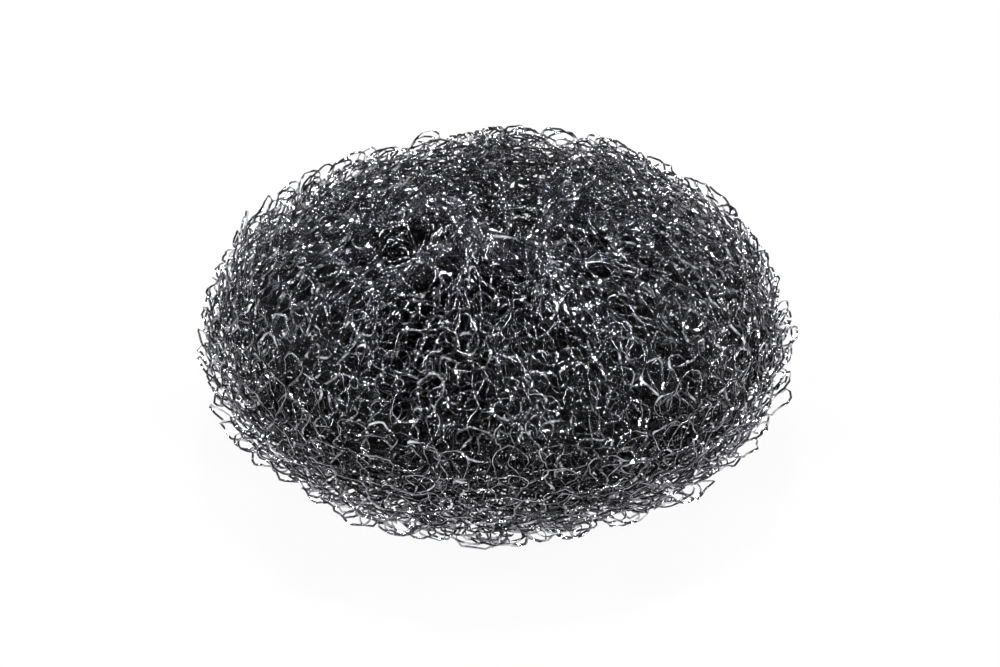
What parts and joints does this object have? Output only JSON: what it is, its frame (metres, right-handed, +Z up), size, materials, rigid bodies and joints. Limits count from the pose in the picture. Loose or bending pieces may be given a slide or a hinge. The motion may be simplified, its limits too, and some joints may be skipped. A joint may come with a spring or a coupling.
{
  "type": "scouring sponge",
  "caption": "Round scouring pad of knitted flat metal wire, rolled from a tube and gathered in the middle, for scrubbing pans.",
  "frame": {"origin": "on the floor under the middle of the pad, at the centre of the flat ring that it rests on", "axes": "+Z up through the pad's thickness, from the flattened underside to the gathered dimple on top; the dimple sits 2 mm off centre towards +X"},
  "size_m": [0.095, 0.095, 0.0419],
  "materials": {
    "galvanised_wire": "bright flat wire with a dark galvanised tone"
  },
  "bodies": {
    "root": {"knitted_mesh": "galvanised_wire"}
  },
  "joints": []
}
